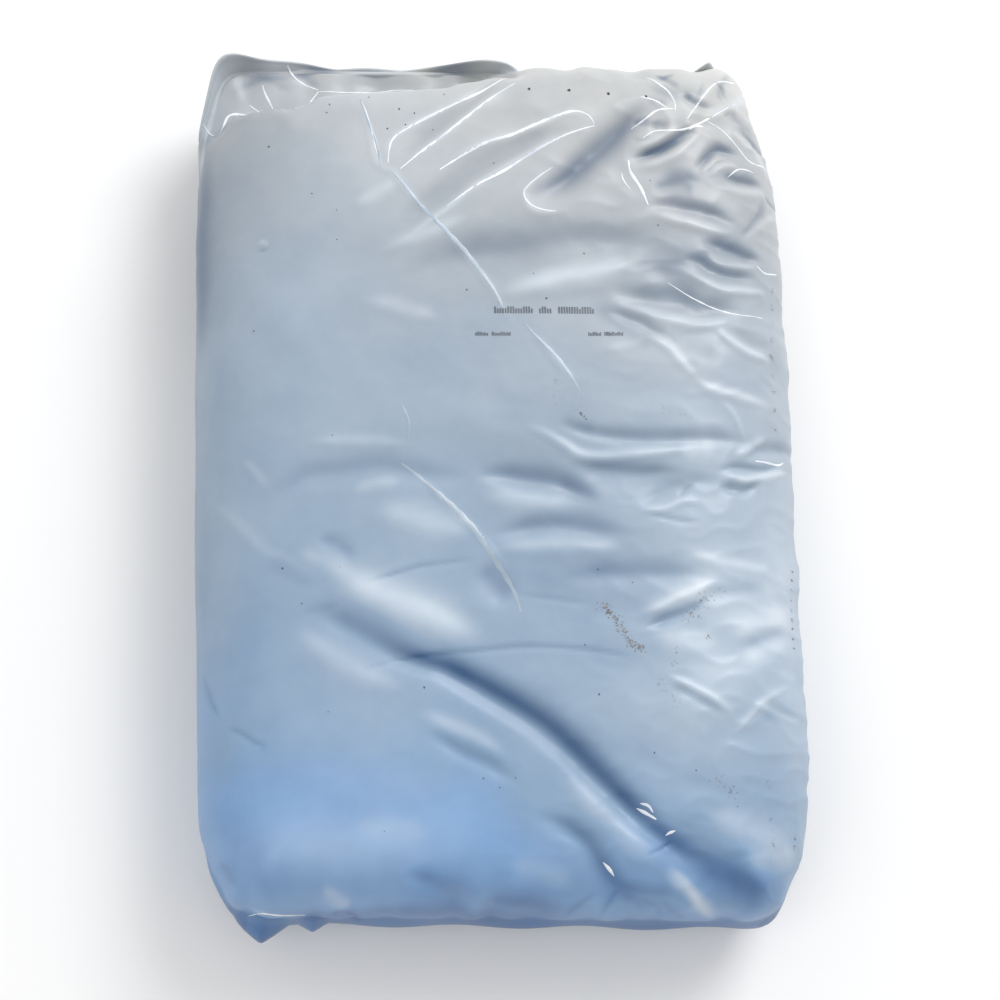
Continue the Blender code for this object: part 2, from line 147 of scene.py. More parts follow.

# Folds of the film and places of painted light and shade: height in millimetres,
# painted light and shade in hundredths (lighter above 0, darker below), half width in
# millimetres, and the points of the path in hundredths of the half width and the half length of the body
SOFT_FOLDS_AND_PAINTED_SHADING = (
    # the left side
    (0, -55, 6, (-98, 85), (-97, 71), (-98, 56), (-98, 41), (-98, 22)),
    (0, -15, 7, (-98, 17), (-99, -2), (-98, -20), (-98, -43)),
    (0.8, 12, 3, (-84, 1), (-79, -3), (-75, -7)),
    (-0.8, -30, 1.5, (-79, 49), (-77, 49), (-75, 49)),
    (0.5, 10, 4, (-96, -7), (-86, -13), (-77, -20), (-69, -23), (-58, -28)),
    (0, -15, 6, (-77, -23), (-70, -26), (-60, -30)),
    # the hollow at the head
    (0, -45, 4, (-89, 92), (-83, 96), (-72, 98), (-56, 99)),
    (0, -35, 4, (-84, 98), (-78, 98), (-72, 96), (-67, 94)),
    (0, 35, 2.5, (-87, 104), (-78, 102), (-68, 98), (-60, 95)),
    (0, -50, 3.5, (-69, 100), (-65, 99), (-61, 97), (-57, 95)),
    (0, -45, 3, (-48, 99), (-40, 99), (-30, 99)),
    (0, -55, 4, (-22, 98), (-13, 101), (-6, 102), (1, 103)),
    (0, -25, 4, (-95, 89), (-93, 94), (-90, 99)),
    # flutes near the head
    (-2.5, -20, 7, (5, 92), (-10, 85), (-24, 77), (-34, 72)),
    (-4, -25, 9, (31, 80), (16, 78), (4, 74), (-7, 70), (-16, 65), (-26, 59), (-37, 52)),
    (1, 22, 5, (-48, 59), (-40, 62), (-32, 66)),
    (1, 28, 5, (-40, 48), (-31, 51), (-19, 54), (-8, 58)),
    # the deep tuck and the wide dent below it
    (0, -40, 7, (7, 60), (14, 63), (23, 68), (31, 74)),
    (-8, -55, 10, (54, 88), (47, 83), (40, 78), (32, 73), (24, 67), (11, 62)),
    (-1, -15, 6, (49, 85), (41, 78), (31, 71), (21, 65)),
    (0, -40, 8, (28, 37), (36, 33), (43, 28), (50, 24)),
    (0, -35, 8, (53, 30), (62, 26), (72, 22)),
    (-5.5, -38, 14, (-35, 43), (-24, 46), (-16, 48), (-6, 50), (8, 51), (22, 53), (37, 53), (52, 53),
     (65, 51)),
    (3.5, 50, 8, (-3, 38), (11, 41), (22, 43), (33, 44), (53, 50)),
    (2, 10, 6, (-46, 37), (-36, 36), (-27, 34), (-17, 33)),
    # the crumpled corner at the right of the head
    (0, -40, 2, (49, 87), (53, 85), (58, 83)),
    (0, -45, 2, (46, 81), (50, 80), (57, 81)),
    (0, -45, 2.5, (82, 97), (76, 90), (78, 86)),
    (0, -50, 4, (75, 85), (83, 83), (88, 79), (94, 75)),
    (0, -40, 6, (51, 91), (57, 88), (64, 87), (72, 90)),
    (0, -35, 10, (32, 43), (46, 46), (63, 47), (76, 47)),
    (-3, -45, 3, (44, 71), (51, 73), (59, 75), (67, 78)),
    (-3, -55, 3, (63, 89), (67, 86), (74, 85)),
    (-2, -45, 2.5, (55, 94), (59, 92), (63, 89)),
    (-2, -40, 6, (51, 62), (57, 66), (65, 67), (70, 66)),
    (-2, -45, 3, (89, 90), (93, 85), (97, 78), (98, 70)),
    (1.5, 25, 3, (84, 84), (87, 79), (91, 74), (93, 68)),
    (0, -60, 2.5, (55, 95), (58, 93), (63, 95)),
    (-1.5, -30, 1.5, (71, 92), (69, 88), (66, 85)),
    (-1.5, -35, 2, (50, 87), (54, 86), (59, 85)),
    (-2, -35, 2, (46, 80), (49, 81), (52, 81)),
    (-1, -25, 1.5, (45, 77), (48, 76), (53, 77)),
    (-2.5, -35, 3, (52, 79), (56, 80), (59, 80)),
    (-6, -75, 4, (45, 72), (51, 73), (55, 74), (59, 76), (63, 78), (70, 80)),
    (2.5, 25, 3.5, (46, 69), (55, 71), (60, 73), (65, 76), (70, 79)),
    (2, 25, 3, (45, 74), (52, 76), (58, 78), (64, 80)),
    (2, 30, 4, (68, 82), (75, 84), (82, 87), (90, 94)),
    (-5, -70, 4, (66, 70), (69, 71), (72, 73), (75, 75), (78, 75), (84, 74)),
    (2, 20, 3, (68, 68), (72, 71), (75, 73), (79, 72)),
    (-5, -60, 4, (75, 69), (81, 68), (85, 68), (92, 68)),
    (2.5, 30, 2.5, (73, 69), (78, 71), (83, 71)),
    (2.5, 30, 4, (74, 66), (80, 65), (86, 65), (93, 66)),
    (-3, -60, 1.8, (82, 82), (87, 79), (90, 77), (95, 78), (98, 75)),
    (-2, -45, 1.3, (92, 91), (92, 87), (90, 82)),
    (-2, -35, 2, (77, 83), (80, 85), (83, 84)),
    (-1.5, -45, 1.3, (74, 92), (77, 91), (78, 89), (80, 88)),
    (-1.5, -60, 1.3, (91, 66), (94, 64), (99, 65)),
    (-5, -55, 5, (49, 60), (57, 61), (64, 60), (71, 59), (82, 57)),
    (3, 40, 3.5, (49, 59), (54, 58), (64, 56), (75, 54), (81, 55)),
    (0, -32, 10, (54, 65), (61, 65), (69, 65)),
    (1, 22, 7, (67, 63), (75, 62), (85, 60)),
    (-3, -40, 3, (91, 65), (89, 60), (85, 56), (81, 53)),
    (1.5, 25, 3, (82, 52), (86, 55), (90, 58), (99, 63)),
    # wrinkles that come in from the right side
    (-6, -64, 5, (67, 52), (74, 51), (80, 50), (85, 49), (91, 49)),
    (2.5, 30, 3.5, (69, 48), (75, 46), (81, 46), (88, 47)),
    (-5, -48, 4.5, (61, 48), (67, 47), (71, 45), (77, 44), (88, 44)),
    (3, 40, 3, (58, 46), (65, 43), (70, 41), (75, 40), (82, 40), (93, 41)),
    (-6, -40, 8, (35, 41), (46, 39), (59, 38), (66, 36), (73, 36), (84, 35)),
    (-2, -24, 9, (50, 47), (56, 44), (62, 40), (68, 37)),
    (2.5, 35, 4, (35, 37), (46, 35), (53, 33), (62, 32), (70, 32), (81, 34)),
    (-3, -32, 3.5, (35, 35), (46, 32), (50, 30), (57, 28)),
    (2, 22, 3, (46, 30), (54, 26), (60, 21), (65, 18)),
    (2.5, 32, 3.5, (62, 19), (68, 16), (75, 15), (82, 14), (90, 13)),
    (3, 40, 3, (70, 31), (77, 27), (83, 25), (91, 24)),
    (-2, -16, 5, (76, 31), (83, 28), (91, 28)),
    (0, -12, 9, (86, 30), (91, 27), (91, 20)),
    (1, 15, 4, (33, 25), (40, 26), (48, 27)),
    (3, 30, 4, (5, 8), (13, 6), (20, 3), (24, 1), (31, 0), (44, 1), (57, 2), (66, 3)),
    (-4, -28, 5, (16, 9), (25, 7), (31, 6), (44, 5), (61, 5), (72, 5), (86, 4)),
    (-1, -20, 4, (18, 9), (25, 7), (31, 6)),
    (-5, -36, 7, (-10, -3), (-2, -3), (8, -4), (18, -5), (24, -7), (33, -10)),
    (-1, -20, 5, (16, -6), (23, -7), (31, -10)),
    (2, 25, 8, (-9, -8), (1, -9), (11, -10), (24, -12)),
    (-4, -36, 7, (-5, -17), (11, -15), (20, -15), (30, -16), (43, -18)),
    (2, 25, 6, (-7, -21), (17, -20), (41, -21)),
    (-3, -28, 7, (17, -27), (30, -26), (42, -26), (55, -26), (67, -27)),
    (-4, -28, 3.5, (43, -39), (50, -37), (58, -35), (66, -32)),
    (-2, -16, 5, (42, -11), (50, -8), (57, -6), (63, -5), (72, -5)),
    (-1.5, -28, 1.3, (56, -10), (58, -8), (62, -6)),
    (2, 25, 2.5, (42, -12), (51, -12), (58, -10), (65, -11)),
    (-1.5, -16, 1.6, (43, -13), (51, -14), (58, -15), (65, -15)),
    (-4, -36, 3, (69, -3), (75, -2), (81, -2), (86, -2), (94, 0)),
    (-3, -24, 4, (78, -1), (83, 2), (87, 3), (95, 4), (103, 4)),
    (3, 35, 3, (70, -4), (79, -5), (84, -4), (98, -1)),
    (-4, -32, 3.5, (69, -6), (75, -7), (79, -7), (85, -5)),
    (2, 30, 3, (75, 0), (82, 3), (88, 6)),
    (1, 25, 9, (56, 1), (64, 2), (71, 2)),
    (1, 20, 1.5, (70, 14), (75, 11), (78, 7), (80, 3)),
    (1.5, 25, 4, (56, -22), (69, -24), (79, -25), (89, -26)),
    (-2, -16, 6, (60, -32), (72, -30), (86, -30)),
    (1, 30, 8, (45, -41), (58, -42), (69, -43)),
    (1, 30, 8, (69, -40), (81, -38), (95, -34)),
    (1, 30, 6, (72, -47), (83, -44), (95, -41)),
    (-2, -12, 5, (74, -44), (83, -41), (92, -39)),
    (0, 18, 10, (56, -49), (70, -48), (86, -46)),
    (-2, -12, 3, (49, -51), (60, -55), (69, -59)),
    (-2, -14, 5, (79, -59), (87, -58), (95, -59)),
    # soft dents across the middle
    (-3, -20, 8, (-79, -8), (-70, -6), (-62, -3), (-51, -2), (-38, -1), (-24, -3), (-7, -4)),
    (1, 14, 4, (-65, 4), (-46, 4), (-28, 3)),
    (1, 20, 5, (-50, -8), (-42, -6), (-32, -5)),
    (2, 28, 10, (-43, -11), (-32, -13), (-21, -15), (-7, -17)),
    (-2, -20, 5, (-60, -18), (-54, -19), (-50, -21), (-47, -23)),
    (-3, -25, 9, (-9, -24), (-3, -28), (2, -33)),
    # the long fold down to the lower right
    (4, 50, 12, (-59, -24), (-44, -29), (-31, -33), (-19, -37), (-5, -42)),
    (1, 20, 6, (-68, -21), (-58, -23), (-47, -27)),
    (-4, -52, 9, (-62, -33), (-52, -36), (-42, -40), (-33, -44), (-21, -47)),
    (2.5, 16, 8, (-69, -37), (-59, -42), (-49, -47), (-39, -50), (-31, -52)),
    (0, -20, 4, (-66, -35), (-59, -34), (-52, -33)),
    (-9, -100, 8.5, (-45, -39), (-28, -45), (-19, -47), (-6, -52), (10, -59), (21, -66), (32, -74),
     (43, -82), (54, -88), (66, -93)),
    (0, -30, 8, (-34, -44), (-22, -47), (-10, -52)),
    (-2, -26, 13, (55, -90), (63, -95), (72, -98), (85, -101)),
    (2, 30, 5, (46, -91), (53, -96), (60, -99), (69, -103)),
    (1, 28, 12, (59, -80), (71, -83), (82, -86), (91, -90)),
    (3, 20, 10, (15, -69), (27, -77), (40, -86), (48, -92)),
    (-5, -55, 7, (6, -78), (17, -82), (24, -86), (29, -92), (35, -97), (46, -103)),
    (0, 35, 9, (70, -91), (80, -91), (95, -89)),
    (-1, -30, 4, (30, -95), (43, -97), (52, -98), (59, -101)),
    (2, 20, 6, (-30, -56), (-19, -60), (-10, -63), (1, -68)),
    (-3, -22, 5, (-27, -60), (-16, -65), (-7, -68), (4, -73)),
    # the foot
    (0, 40, 3, (47, -91), (54, -95), (60, -100), (68, -104)),
    (0, -35, 2.5, (29, -103), (30, -100), (34, -96)),
    (0, -30, 2.5, (17, -103), (20, -100), (27, -97)),
    (0, -55, 3.5, (-89, -97), (-66, -100), (-41, -100), (-12, -101), (24, -102)),
    (0, -25, 6, (-13, -98), (3, -98), (16, -100), (29, -101)),
    (-4, -28, 6, (-34, -91), (-26, -93), (-18, -96), (-9, -98)),
    (-2, -45, 6, (-12, -99), (0, -99), (8, -100), (19, -102)),
    (0, -35, 5, (-40, -99), (-26, -99), (-8, -100)),
    (3, 25, 4, (-60, -94), (-55, -96), (-49, -99)),
    (-3, -45, 2, (-58, -100), (-53, -99), (-50, -100), (-45, -102)),
    (-3, -45, 4, (-93, -88), (-89, -92), (-86, -95)),
    (0, 14, 8, (-52, -82), (-40, -82), (-24, -84)),
    (-2, -30, 2, (39, -98), (45, -100), (50, -103)),
    (-2, -30, 2, (45, -98), (51, -101), (58, -103)),
    (0, 16, 9, (-4, -90), (8, -92), (21, -96)),
    # thin scars left by earlier creases
    (-1, -22, 1.8, (-48, -29), (-38, -27), (-28, -25), (-18, -24), (-7, -23)),
    (-1.2, -25, 1.8, (-53, -50), (-42, -47), (-28, -45), (-12, -44), (7, -43), (26, -44), (41, -46),
     (49, -49)),
    (-0.8, -12, 1.8, (0, -31), (10, -32), (20, -33), (29, -34)),
    (-2, -40, 1.6, (-98, -46), (-96, -50), (-94, -54), (-91, -58)),
    (-1.5, -22, 1.8, (-90, -59), (-84, -61), (-80, -63), (-77, -64), (-79, -66)),
    (-1.5, -40, 1.2, (41, -89), (46, -88), (51, -86)),
)

# The same for folds with a sharp crest, with painted light along them
SHARP_FOLDS_AND_PAINTED_SHADING = (
    (1, 30, 1.5, (-79, 51), (-77, 51), (-75, 50)),
    (2, 10, 3, (-97, 85), (-92, 82), (-90, 86), (-86, 89), (-78, 88), (-70, 84), (-64, 88), (-58, 95)),
    (1.7, 42, 2.6, (2, 93), (-13, 85), (-28, 79), (-36, 74), (-36, 69)),
    (1.9, 42, 2.6, (9, 91), (-5, 84), (-15, 78), (-24, 73), (-32, 68)),
    (2.2, 42, 3, (33, 80), (26, 83), (16, 80), (5, 77), (-4, 75), (-12, 72), (-19, 68)),
    (2.2, 42, 3, (33, 80), (19, 76), (7, 71), (-6, 65), (-16, 59), (-24, 55), (-34, 49)),
    (2, 10, 3.2, (16, 68), (10, 64), (9, 62), (11, 59), (16, 58), (25, 59)),
    (2.5, 35, 2.2, (77, 82), (82, 79), (86, 77), (92, 77), (98, 75)),
    (4, 55, 5, (41, -36), (49, -34), (55, -32), (62, -30), (69, -28)),
    (3, 22, 3, (69, -64), (75, -60), (82, -55), (93, -51)),
    (3, 22, 3, (49, -49), (60, -53), (67, -56), (72, -59)),
    (3, 20, 3, (76, -55), (85, -58), (96, -60)),
    (2, 25, 2.5, (-84, -100), (-78, -99), (-71, -100), (-63, -100)),
    (1.2, 5, 1.9, (-45, 86), (-42, 78), (-40, 70), (-34, 67), (-30, 63), (-22, 57), (-16, 52)),
    (1.2, 8, 1.9, (-22, 57), (-16, 52), (-9, 46), (-3, 40), (1, 35), (6, 29)),
    (1.2, 5, 1.9, (8, 30), (13, 27), (18, 22), (22, 19), (25, 15)),
    (1.4, 8, 1.9, (-33, -1), (-22, -8), (-14, -14), (-8, -18), (-2, -24), (2, -30), (3, -33)),
)

# The same for folds with one gentle side, with painted shade along them
STEP_FOLDS_AND_PAINTED_SHADING = (
    (-5, -32, 5, (20, -1), (31, -2), (44, -3), (52, -3), (61, -4)),
    (-10, -32, 10, (95, -99), (77, -96), (65, -92), (54, -87), (40, -80)),
)

# Broad heaps and hollows: height in millimetres, centre, and reach in millimetres
HEAPS = (
    (5, (-38, 66), (60, 50)),
    (5, (60, 22), (60, 45)),
    (4, (-50, -62), (55, 60)),
    (5, (66, -52), (50, 50)),
    (-4, (10, 0), (90, 40)),
    (-7, (-34, 96), (26, 8)),
    (-7, (-5, 97), (20, 7)),
    (-6, (52, 95), (16, 8)),
)

# Wide patches of painted light (above 0) and painted shade (below 0): strength in hundredths, centre, and
# reach in millimetres
PAINTED_SHADING_PATCHES = (
    (12, (66, -14), (48, 80)),
    (-8, (-12, 33), (50, 32)),
    (-25, (0, -107), (230, 11)),
    (-10, (24, 84), (60, 22)),
    (-20, (24, -26), (42, 22)),
    (-12, (-80, 66), (30, 40)),
    (30, (92, -30), (22, 105)),
    (14, (58, -58), (45, 40)),
    (12, (-92, -30), (18, 90)),
    (-45, (-99, 56), (14, 60)),
    (-24, (74, 68), (36, 50)),
    (-14, (30, 92), (70, 14)),
    (30, (72, -34), (36, 34)),
    (15, (-60, -86), (60, 18)),
    (-10, (4, 2), (50, 18)),
    (16, (-40, 88), (60, 18)),
    (-12, (66, 47), (40, 22)),
)

# Thin raised crease lines coloured near white as painted highlights: width in millimetres, and the points
# of the path
PAINTED_GLEAMS = (
    (1.9, (4.5, 92.5), (-4.5, 88), (-13.5, 84.5), (-25, 80), (-33.5, 76), (-35.5, 73), (-36, 69.5)),
    (2, (7, 90.5), (-1.5, 86), (-10, 81), (-18.5, 76), (-25.5, 72), (-32, 68)),
    (2.4, (-19, 68), (-10.5, 72), (-3, 75), (5.5, 77), (11.5, 79), (18, 81), (26, 83), (31, 82), (33, 80)),
    (2, (33, 79.5), (23, 77), (13, 73), (2.5, 68), (-7.5, 64), (-17, 59)),
    (1.6, (18.5, 69), (14.5, 67), (10.5, 64.5), (8.5, 62.5), (10, 60), (14, 58.5), (19, 58)),
    (2.4, (44, 71), (44.5, 68), (47.5, 64.5), (50, 60)),
    (0.9, (41.5, 68), (42, 66), (44.5, 63.5)),
    (2, (-97.5, 85.5), (-94, 82.5), (-92, 82.5), (-90.5, 86), (-88, 88.5), (-79.5, 87.5), (-71.5, 84),
     (-64.5, 87), (-62, 91), (-58.5, 94.5)),
    (1, (-58.5, 94.5), (-46, 94.5), (-27, 95.5), (-14.5, 92)),
    (1.6, (-77.5, 96), (-76.5, 93.5), (-74, 90)),
    (1.2, (-82, 91), (-77.5, 88.5), (-73, 86.5)),
    (1.4, (-70.5, 102.5), (-67, 98.5), (-63.5, 96.5), (-58.5, 95)),
    (1.2, (-44.5, 85), (-42.5, 81), (-41, 76.5), (-39.5, 71.5)),
    (1.5, (52.5, 94), (56, 90.5), (58.5, 88.5), (60.5, 85.5), (60.5, 83.5)),
    (1.6, (84, 94.5), (76, 92), (70.5, 87.5), (67.5, 84.5), (64.5, 81.5)),
    (1.4, (49, 76.5), (53.5, 78.5), (59, 78.5), (65.5, 79.5), (74, 83), (82.5, 87.5)),
    (1.5, (45.5, 79), (50.5, 81.5), (54.5, 83.5), (60, 84)),
    (1.2, (49, 87), (54, 86), (58, 84)),
    (1.3, (71.5, 81.5), (76.5, 80), (82, 76.5), (87.5, 73), (96, 73.5)),
    (1.2, (78, 68), (82.5, 70.5), (88, 70.5)),
    (1.1, (90.5, 90.5), (93, 85.5), (96, 79.5), (98, 74.5)),
    (1.1, (55.5, 41), (66, 36.5), (77, 34), (88, 34)),
    (1.8, (65, 79), (67.5, 80), (70, 80)),
    (1.5, (86.5, 47), (90, 45.5), (95.5, 46.5)),
    (1.8, (82.5, -0.5), (87.5, -0.5), (91.5, -0.5), (94, 0.5)),
    (2.4, (39, -79), (41.5, -80), (45, -81.5)),
    (2, (40, -78), (42.5, -78.5), (44, -80)),
    (2, (48, -85), (49, -84.5), (51, -84)),
    (2.2, (28, -90.5), (30, -92), (31.5, -93.5)),
    (1, (-83.5, -100), (-79, -99.5), (-72.5, -100), (-64.5, -100)),
)

# Broader pale lines where the film was once creased, in the same form
SCARS = (
    (2.6, (-45, 85.5), (-43, 81.5), (-41, 77), (-39, 72), (-38.5, 68.5)),
    (3.4, (-36.5, 68.5), (-33, 66), (-27.5, 61), (-22, 56.5), (-16.5, 52.5), (-11, 48.5), (-5.5, 43),
     (-1, 37.5), (1.5, 32.5)),
    (3, (7, 31.5), (11, 28), (16, 24.5), (20, 21), (23, 17.5), (25, 15)),
    (2.2, (-32.5, 12), (-31.5, 10), (-30.5, 7.5), (-31, 3.5)),
    (4.4, (-33, -1.5), (-28.5, -4), (-24, -7), (-17, -11.5), (-10.5, -16.5), (-4.5, -23), (-1, -27),
     (2, -31), (4, -35.5)),
)

# Rows of print, drawn as plain upright bars: the place of the left end in
# hundredths, then length and height in millimetres
PRINT_ROWS = (
    ((-2.2, 34.2), 27, 4.6),
    ((12.5, 34.2), 10, 4.6),
    ((18.8, 34.2), 25.5, 4.6),
    ((-8.6, 28.5), 9, 2.6),
    ((-3.2, 28.5), 13.5, 2.6),
    ((28.4, 28.5), 9, 2.6),
    ((33.6, 28.5), 13, 2.6),
)

# Places of the vent holes and of the specks, in hundredths
VENT_HOLES = ((11.6, 88.8), (25.1, 88.7), (38.2, 87.7), (50.9, 87))
SPECKS = (
    (-53, 58), (-55, 5), (-11, 39), (15, 37), (24, -43), (-4, -74), (-40, -83), (-57, -57), (-71, -25),
    (-53, -25), (-65, -33), (-27, -52), (1, -72), (-9, -72), (58, -71), (71, -76), (40, -29), (45, -67),
    (28, -54), (-42, 86), (-55, 84), (-67, 83), (-56, 82), (-36, 78), (-30, 79), (-27, 82), (-32, 83),
    (-21, 78), (-17, 87), (-61, 62), (-53, 51), (-80, 30), (-1, 70), (-75, 74), (51, 66), (53, 55),
    (11, 43), (28, 48), (29, -26),
)

# Smears of dried dirt: number of flakes, how far they scatter and the size of the
# largest in millimetres, and the points of the path
SMEARS = (
    (190, 3.6, 1.3, (30, -34), (34, -37), (38, -42), (42, -44)),
    (60, 5.5, 1.1, (58, -37), (62, -34), (66, -32)),
    (8, 2.4, 1, (62, -40), (64, -42)),
    (10, 1.8, 1, (53, -44), (52, -48)),
    (34, 5.5, 0.8, (47, -51), (53, -56)),
    (50, 6.5, 0.7, (15, 18), (19, 15), (25, 11)),
    (14, 5, 0.8, (49, 12), (62, 8)),
    (60, 2, 1, (93, 42), (91, 25), (91, 8)),
    (60, 0.9, 1.3, (95, -25), (94, -34), (94, -43)),
    (10, 0.8, 1.5, (25, 10), (26, 9), (28, 8)),
    (30, 3.4, 1.2, (63, -73), (67, -74), (71, -78)),
    (7, 1.6, 1, (81, -73), (82, -75)),
    (14, 2, 1.2, (82, -81), (83, -85), (83, -88)),
    (9, 1, 1.3, (91, -85), (91, -88)),
)

# How the thin lines and marks lie on the film: the steps of a line, the lift of
# its edges and of its middle, the lift of a mark, and the width of a vent hole
LINE_STEP = 0.002
EDGE_LIFT = 0.00005
LINE_LIFT = 0.00035
MARK_LIFT = 0.00025
VENT_WIDTH = 0.0024

# Colours of the film from the foot to the head: its own pale grey-blue with a painted
# sky reflection, whitish at the head and blue at the foot; the colours of the painted shade
# at the foot and at the head, the colour of the painted light, and its mottle
FILM_AND_PAINTED_SKY_STOPS = (
    (0.00, (0.195, 0.358, 0.625)),
    (0.10, (0.242, 0.346, 0.475)),
    (0.25, (0.274, 0.374, 0.498)),
    (0.50, (0.338, 0.408, 0.490)),
    (0.72, (0.368, 0.406, 0.445)),
    (0.88, (0.470, 0.482, 0.490)),
    (0.98, (0.560, 0.560, 0.545)),
)
FOOT_PAINTED_SHADE_COLOUR = (0.12, 0.27, 0.46)
HEAD_PAINTED_SHADE_COLOUR = (0.27, 0.34, 0.46)
PAINTED_SHEEN_COLOUR = (0.66, 0.72, 0.78)
MOTTLE_STOPS = ((0.30, (0.91, 0.93, 0.95)), (0.72, (1.06, 1.05, 1.04)))

# Looks of the lines and marks: two colours that mix in patches, the roughness,
# the fineness of the patches, and the share up to which the first colour is pure
LOOKS = {
    # the crease lines are coloured near white as painted highlights
    "crease_painted_highlight": ((0.62, 0.68, 0.76), (0.95, 0.97, 1.0), 0.30, 60.0, 0.30),
    "scar_look": ((0.32, 0.39, 0.47), (0.41, 0.49, 0.57), 0.30, 60.0, 0.30),
    "ink_look": ((0.085, 0.105, 0.135), (0.15, 0.17, 0.20), 0.5, 180.0, 0.35),
    "vent_look": ((0.03, 0.035, 0.045), (0.07, 0.075, 0.09), 0.8, 180.0, 0.35),
    "speck_look": ((0.04, 0.05, 0.07), (0.12, 0.13, 0.16), 0.8, 180.0, 0.35),
    "dirt_look": ((0.20, 0.17, 0.155), (0.34, 0.31, 0.30), 0.9, 180.0, 0.35),
}

# Lamps (place, size and power), the point they face, and the light of the room
KEY_LAMP = ((1.2, 1.5, 2.0), 1.3, 42.0)
FILL_LAMP = ((-1.2, -0.8, 2.0), 1.6, 8.0)
LAMP_TARGET = (0.0, 0.0, 0.05)
ROOM_SHADES = ((0.0, (0.62, 0.62, 0.62)), (0.7, (1.0, 1.0, 1.0)))
ROOM_STRENGTH = 0.78

# The camera, with its roll in radians and its lens in millimetres
CAMERA_PLACE = (-0.12978, -0.32071, 1.52156)
CAMERA_TARGET = (0.00191, -0.01005, 0.06)
CAMERA_ROLL = -0.02441
CAMERA_LENS = 79.23


def smooth_step(start, end, value):
    share = np.clip((value - start) / (end - start), 0.0, 1.0)
    return share * share * (3.0 - 2.0 * share)


def plan_sides():
    foot = HALF_Y + FOOT_EXTRA
    sides = [(1.0, 0.0, HALF_X), (-1.0, 0.0, HALF_X), (0.0, 1.0, HALF_Y)]
    sides.append((-math.sin(FOOT_TURN), -math.cos(FOOT_TURN), foot))
    corners = ((-1, 1, HEAD_LEFT_CUT), (1, 1, HEAD_RIGHT_CUT))
    corners += ((-1, -1, FOOT_LEFT_CUT), (1, -1, FOOT_RIGHT_CUT))
    for across, along, (cut_x, cut_y) in corners:
        size = math.hypot(cut_x, cut_y)
        normal_x = across * cut_y / size
        normal_y = along * cut_x / size
        end = HALF_Y if along > 0 else foot
        sides.append((normal_x, normal_y, normal_x * across * (HALF_X - cut_x) + normal_y * along * end))
    return sides


SIDES = plan_sides()


def inset(x, y):
    total = 0.0
    for normal_x, normal_y, reach in SIDES:
        total = total + np.exp(-(reach - normal_x * x - normal_y * y) / CORNER_SOFTNESS)
    return -CORNER_SOFTNESS * np.log(total)


def outward(x, y):
    step = 0.0005
    slope_x = inset(x + step, y) - inset(x - step, y)
    slope_y = inset(x, y + step) - inset(x, y - step)
    size = np.hypot(slope_x, slope_y) + 1e-12
    return -slope_x / size, -slope_y / size


def rim_point(ray_x, ray_y, depth):
    low = np.zeros_like(ray_x)
    high = np.full_like(ray_x, BODY_LENGTH)
    for _ in range(34):
        middle = (low + high) / 2.0
        inside = inset(middle * ray_x, middle * ray_y) > depth
        low = np.where(inside, middle, low)
        high = np.where(inside, high, middle)
    return low * ray_x, low * ray_y


def shoulder_width(x, y):
    return SIDE_SHOULDER + (END_SHOULDER - SIDE_SHOULDER) * outward(x, y)[1] ** 2


def pocket_share(x, y):
    crease = np.interp(x / HALF_X, CREASE_ACROSS, CREASE_ALONG)
    fade = 1.0 - smooth_step(LIP_END[0] - 0.02, LIP_END[1] - 0.01, x)
    return smooth_step(0.0, 0.060, y / HALF_Y - crease) * fade


def face_level(x, y):
    depth = np.clip(inset(x, y), 0.0, None)
    share = np.clip(1.0 - depth / shoulder_width(x, y), 0.0, 1.0)
    rise = (1.0 - share ** ROUNDNESS) ** (1.0 / ROUNDNESS)
    crown = CROWN_HEIGHT * (1.0 - (x / HALF_X) ** 2) * (1.0 - (y / HALF_Y) ** 2)
    level = WIDEST_LEVEL + (BODY_HEIGHT - WIDEST_LEVEL) * rise + crown
    return level - np.maximum(level - POCKET_LEVEL, 0.0) * pocket_share(x, y)


def smooth_path(path):
    """The path in metres, with points added so that it bends smoothly."""
    points = np.array(path, float) * (HALF_X / 100.0, HALF_Y / 100.0)
    padded = np.vstack((2 * points[0] - points[1], points, 2 * points[-1] - points[-2]))
    made = []
    for a, b, c, d in zip(padded[:-3], padded[1:-2], padded[2:-1], padded[3:]):
        for t in (0.0, 0.25, 0.5, 0.75):
            bend = (2 * a - 5 * b + 4 * c - d) * t ** 2 + (3 * b - a - 3 * c + d) * t ** 3
            made.append(b + 0.5 * ((c - a) * t + bend))
    made.append(points[-1])
    return np.array(made)


